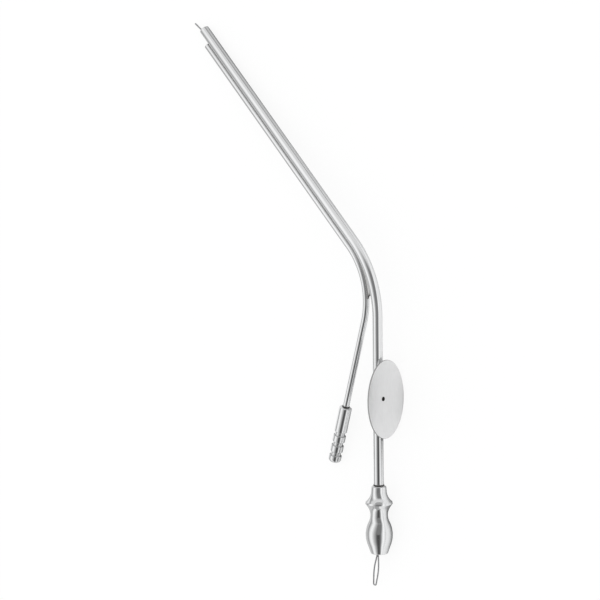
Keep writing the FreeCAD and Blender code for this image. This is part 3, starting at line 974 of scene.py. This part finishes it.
def worked_metal(name, colour, roughness, grain, depth, spread, mottle=0.03):
    """Bare metal worked in one direction.

    Grain is how many marks there are to a millimetre along each unbent axis. The roughness
    and the height both follow the marks, and clouds of some millimetres vary the polish as
    handling does. Depth is the height of the marks in millimetres. Spread is how far the
    roughness varies, and mottle is how far the colour does.
    """
    material = bpy.data.materials.new(name)
    material.use_nodes = True
    tree = material.node_tree
    shader = tree.nodes["Principled BSDF"]
    place = add_node(tree, "ShaderNodeAttribute", {"attribute_name": "unbent"}, output="Vector")
    marks = stretched(place, grain)
    fine = stretched(place, [FINE_MARKS * count for count in grain], detail=1.0)
    clouds = stretched(place, CLOUDS, detail=3.0)
    # Painted shade: the bores, holes and edges that the pieces mark, and crevices found by Ambient
    # Occlusion.
    marked_shade = add_node(tree, "ShaderNodeAttribute", {"attribute_name": "painted_shade"}, output="Fac")
    unoccluded = place.node("ShaderNodeAmbientOcclusion", {"samples": OCCLUSION_SAMPLES},
                          {"Distance": SHADE_REACH * MM}, output="AO")
    painted_shade = marked_shade + (1 - unoccluded) * CREVICE_SHADE_GAIN
    polish = roughness + marks * spread + clouds * spread + painted_shade * UNPOLISHED_ROUGHNESS
    tree.links.new(polish.socket, shader.inputs["Roughness"])
    shade = between_colours(MIDDLE + marks + clouds, (*[part - mottle for part in colour], 1),
                            (*[part + mottle for part in colour], 1))
    # The painted shade turns the colour near-black and takes away most of the metal's reflection.
    shade = between_colours(painted_shade, shade, PAINTED_SHADE_COLOUR)
    tree.links.new(shade.socket, shader.inputs["Base Color"])
    bare = 1 - painted_shade * SHADE_METAL_LOSS
    tree.links.new(bare.socket, shader.inputs["Metallic"])
    bump = place.node("ShaderNodeBump", None, {
        "Strength": 1.0, "Distance": depth * MM, "Height": marks + fine * FINE_SHARE})
    tree.links.new(bump.socket, shader.inputs["Normal"])
    print(name, "- roughness", roughness, "with", grain, "marks to a millimetre")
    return material


# %% Six finishes for eight pieces
drawn_steel = worked_metal(
    "steel_polished_lengthways", colour=(0.77, 0.775, 0.78), roughness=0.08,
    grain=(0.12, 5.0, 5.0), depth=0.0010, spread=0.05)
turned_steel = worked_metal(
    "steel_polished_on_lathe", colour=(0.76, 0.765, 0.77), roughness=0.10,
    grain=(5.0, 0.25, 0.25), depth=0.0010, spread=0.06)
satin_steel = worked_metal(
    "steel_brushed_satin", colour=(0.77, 0.772, 0.775), roughness=0.34,
    grain=(0.25, 3.5, 3.5), depth=0.0016, spread=0.12, mottle=0.045)
silver_solder = worked_metal(
    "silver_solder_polished", colour=(0.73, 0.725, 0.71), roughness=0.20,
    grain=(0.9, 1.3, 1.3), depth=0.012, spread=0.10)
# The solder in the groove is painted darker than the pad's, as the groove's shade.
shaded_groove_solder = worked_metal(
    "silver_solder_painted_shade_in_groove", colour=(0.64, 0.638, 0.63), roughness=0.26,
    grain=(0.9, 1.3, 1.3), depth=0.010, spread=0.10, mottle=0.06)
spring_wire = worked_metal(
    "wire_drawn_bright", colour=(0.44, 0.445, 0.45), roughness=0.20,
    grain=(0.3, 12.0, 12.0), depth=0.0006, spread=0.08)
finishes = {
    suction_tube: drawn_steel, irrigation_tube: drawn_steel, seam: shaded_groove_solder,
    pad: silver_solder, plate: satin_steel, suction_connector: turned_steel,
    irrigation_connector: turned_steel, stylet: spring_wire,
}
for part, finish in finishes.items():
    part.data.materials.clear()
    part.data.materials.append(finish)

# %% [markdown]
# ## The floor
#
# The tool lies on white paper. The camera sees the paper as plain white, through Light Path,
# and the paper keeps a soft shadow, so the tool rests on it instead of floating. Metal
# reflects the paper too, and there its light has to fall as it did in the studio: dimmer
# beyond the tool's left side, except under the slanting tail, and dark close to the tool,
# where the paper is in its shadow. A plain white floor would wash out every lower edge.

# %% Floor of white paper, and how its light falls
FLOOR_REACH = 3.0
FLOOR_DROP = 0.00002


def stage_piece(name, points, faces):
    """A mesh that is no part of the tool, such as the floor."""
    mesh = bpy.data.meshes.new(name)
    mesh.from_pydata(points, [], faces)
    made = bpy.data.objects.new(name, mesh)
    bpy.context.scene.collection.objects.link(made)
    return made


def eased(value, low, high):
    """0 below the low value, 1 above the high one, and a smooth step between them."""
    return value.node("ShaderNodeMapRange", {"interpolation_type": "SMOOTHSTEP"},
                      {"Value": value, "From Min": low, "From Max": high})


def bare_material(name):
    """A material that has no shader yet."""
    material = bpy.data.materials.new(name)
    material.use_nodes = True
    material.node_tree.nodes.remove(material.node_tree.nodes["Principled BSDF"])
    return material


def cover(thing, material, shader):
    """Give a material its shader, and cover a thing with it."""
    output = material.node_tree.nodes["Material Output"]
    material.node_tree.links.new(shader.socket, output.inputs["Surface"])
    thing.data.materials.append(material)


floor = stage_piece("studio_floor", [(x * FLOOR_REACH, y * FLOOR_REACH, -FLOOR_DROP)
                                     for x, y in ((-1, -1), (1, -1), (1, 1), (-1, 1))],
                    [(0, 1, 2, 3)])
print("paper of", 2 * FLOOR_REACH, "m a side")

# %% How bright the metal sees the paper
LEFT_SHADE = 0.62
FALLS_OVER = 0.025
UNDER_TAIL = ((0.015, 0.035), (0.065, 0.095))
CONTACT_REACH = 0.007
CONTACT_SAMPLES = 8

paper = bare_material("white_paper")
camera_rays = add_node(paper.node_tree, "ShaderNodeLightPath", output="Is Camera Ray")
glossy_rays = Field(camera_rays.socket.node.outputs["Is Glossy Ray"])
clear_rays = Field(camera_rays.socket.node.outputs["Is Transmission Ray"])
on_paper = camera_rays.node("ShaderNodeTexCoord", output="Object")


def from_origin(direction):
    """How far a place on the paper is from the tool's origin in a direction: a dot product."""
    reached = on_paper.node("ShaderNodeVectorMath", {"operation": "DOT_PRODUCT"},
                            {0: on_paper, 1: direction}, output="Value")
    return reached - float(origin @ direction)


right_side = eased(from_origin(unit(np.cross(handle_axis, (0, 0, 1)))), -FALLS_OVER, FALLS_OVER)
from_hose, to_fork = (eased(from_origin(handle_axis), low, high) for low, high in UNDER_TAIL)
under_tail = from_hose * (1 - to_fork)
near_tool = on_paper.node("ShaderNodeAmbientOcclusion", {"samples": CONTACT_SAMPLES},
                          {"Distance": CONTACT_REACH}, output="AO")
bright = (1 - (1 - LEFT_SHADE) * (1 - right_side) * (1 - under_tail)) * near_tool * near_tool

# %% The paper's finish
PAPER_WHITE = 0.9
CAMERA_GLOW = 0.88
GLOSSY_GLOW = 0.05
CLEAR_GLOW = 0.7

seen = PAPER_WHITE * (1 - glossy_rays * (1 - bright))
matt = seen.node("ShaderNodeBsdfDiffuse", None, {"Color": seen})
white = seen.node("ShaderNodeEmission", None, {"Color": (1, 1, 1, 1), "Strength": 1.0})
share = camera_rays * CAMERA_GLOW + glossy_rays * GLOSSY_GLOW + clear_rays * CLEAR_GLOW
cover(floor, paper, seen.node("ShaderNodeMixShader", None, {0: share, 1: matt, 2: white}))
print("paper shows", CAMERA_GLOW, "of its white without shadow")

# %% [markdown]
# ## The studio
#
# Polished metal shows the room more than itself. In the photograph the room is a light
# tent: white cloth, a bright panel on each side, and a dark slot overhead where the camera
# looks in, which runs down the middle of the handle as a dark line. The tent is built as
# half a tunnel of glowing cloth around the tool. It could have been painted on the world,
# but then it would be endlessly far away, and the tip would show the same slot as the
# handle. Only reflections see the tent. The slot is darkest over the hose end, paler over
# the handle, and closes beyond the bend, where the tip sees plain cloth.

# %% The world: white to the camera, even light for the floor
LIGHT_LEVEL = 1.04
AFAR = 0.45

world = bpy.data.worlds.new("studio")
bpy.context.scene.world = world
world.use_nodes = True
to_camera = add_node(world.node_tree, "ShaderNodeLightPath", output="Is Camera Ray")
to_gloss = Field(to_camera.socket.node.outputs["Is Glossy Ray"])
ambient = to_gloss * AFAR + (1 - to_gloss) * (LIGHT_LEVEL / PAPER_WHITE)
brightness = to_camera + (1 - to_camera) * ambient
background = world.node_tree.nodes["Background"]
background.inputs["Color"].default_value = (1, 1, 1, 1)
world.node_tree.links.new(brightness.socket, background.inputs["Strength"])
print("world lights the paper to", LIGHT_LEVEL)

# %% The tent, a tunnel of cloth along the handle
TENT_RADIUS = 0.45
TENT_LENGTH = 2.4
TENT_ROWS = 89
TENT_COLUMNS = 121
# Degrees that the slot drifts to one side in each metre towards the bend.
SLOT_DRIFT = 40.0
SLOT_PALES = (-0.05, 0.0)
PALE_SLOT = 0.24
SLOT_CLOSES = (0.33, 0.55)
PLAIN_CLOTH = 0.85


def rising(value, limits):
    """0 below the first limit, 1 above the second, and an even slope between them."""
    return np.clip((value - limits[0]) / (limits[1] - limits[0]), 0, 1)


cloth_glow = np.array([
    # bearing about the handle from the camera's side, glow of the cloth there
    (-112, 0.40), (-106, 0.46), (-98, 0.72), (-88, 1.02), (-76, 1.20), (-65, 1.08),
    (-54, 0.80), (-44, 0.56), (-35, 0.42), (-26, 0.22), (-18, 0.10), (-4, 0.08), (6, 0.15),
    (14, 0.28), (21, 0.60), (29, 1.05), (37, 1.24), (47, 0.96), (58, 0.80), (64, 0.80)])
camera_seat = np.array(camera.matrix_world.translation) - origin
over_handle = unit(camera_seat - handle_axis * (camera_seat @ handle_axis))
beside_handle = np.cross(handle_axis, over_handle)
bearing = np.linspace(*cloth_glow[[0, -1], 0], TENT_ROWS)
along_tent = np.linspace(-TENT_LENGTH / 2, TENT_LENGTH / 2, TENT_COLUMNS)
around_tent = np.radians(bearing)[:, None, None]
tent_points = (origin + along_tent[None, :, None] * handle_axis + TENT_RADIUS * (
    np.cos(around_tent) * over_handle + np.sin(around_tent) * beside_handle)).reshape(-1, 3)
tent_faces = grid_faces(TENT_ROWS, TENT_COLUMNS, False)
# A tunnel is open at its ends, so the faces that join its last column to its first go.
tent_faces = tent_faces[np.ptp(tent_faces, axis=1) < 2 * TENT_COLUMNS - 1]
tent = stage_piece("light_tent", tent_points, tent_faces)
tent.visible_camera = tent.visible_diffuse = tent.visible_shadow = False
print("tent of", len(tent_faces), "faces, from", bearing[0], "to", bearing[-1], "degrees")

# %% The glow of its cloth, from the table to the mesh
from_slot = bearing[:, None] - SLOT_DRIFT * np.maximum(along_tent, 0)
slot_glow = np.maximum(np.interp(from_slot, *cloth_glow.T),
                       PALE_SLOT * rising(along_tent, SLOT_PALES))
closed = rising(along_tent, SLOT_CLOSES)
glow_level = slot_glow * (1 - closed) + PLAIN_CLOTH * closed
woven = tent.data.attributes.new("glow", "FLOAT", "POINT")
woven.data.foreach_set("value", glow_level.reshape(-1).astype(np.float32))

cloth = bare_material("tent_cloth")
glow = add_node(cloth.node_tree, "ShaderNodeAttribute", {"attribute_name": "glow"}, output="Fac")
cover(tent, cloth, glow.node("ShaderNodeEmission", None, {"Color": glow, "Strength": 1.0}))
print("cloth glows from", round(glow_level.min(), 2), "to", round(glow_level.max(), 2))
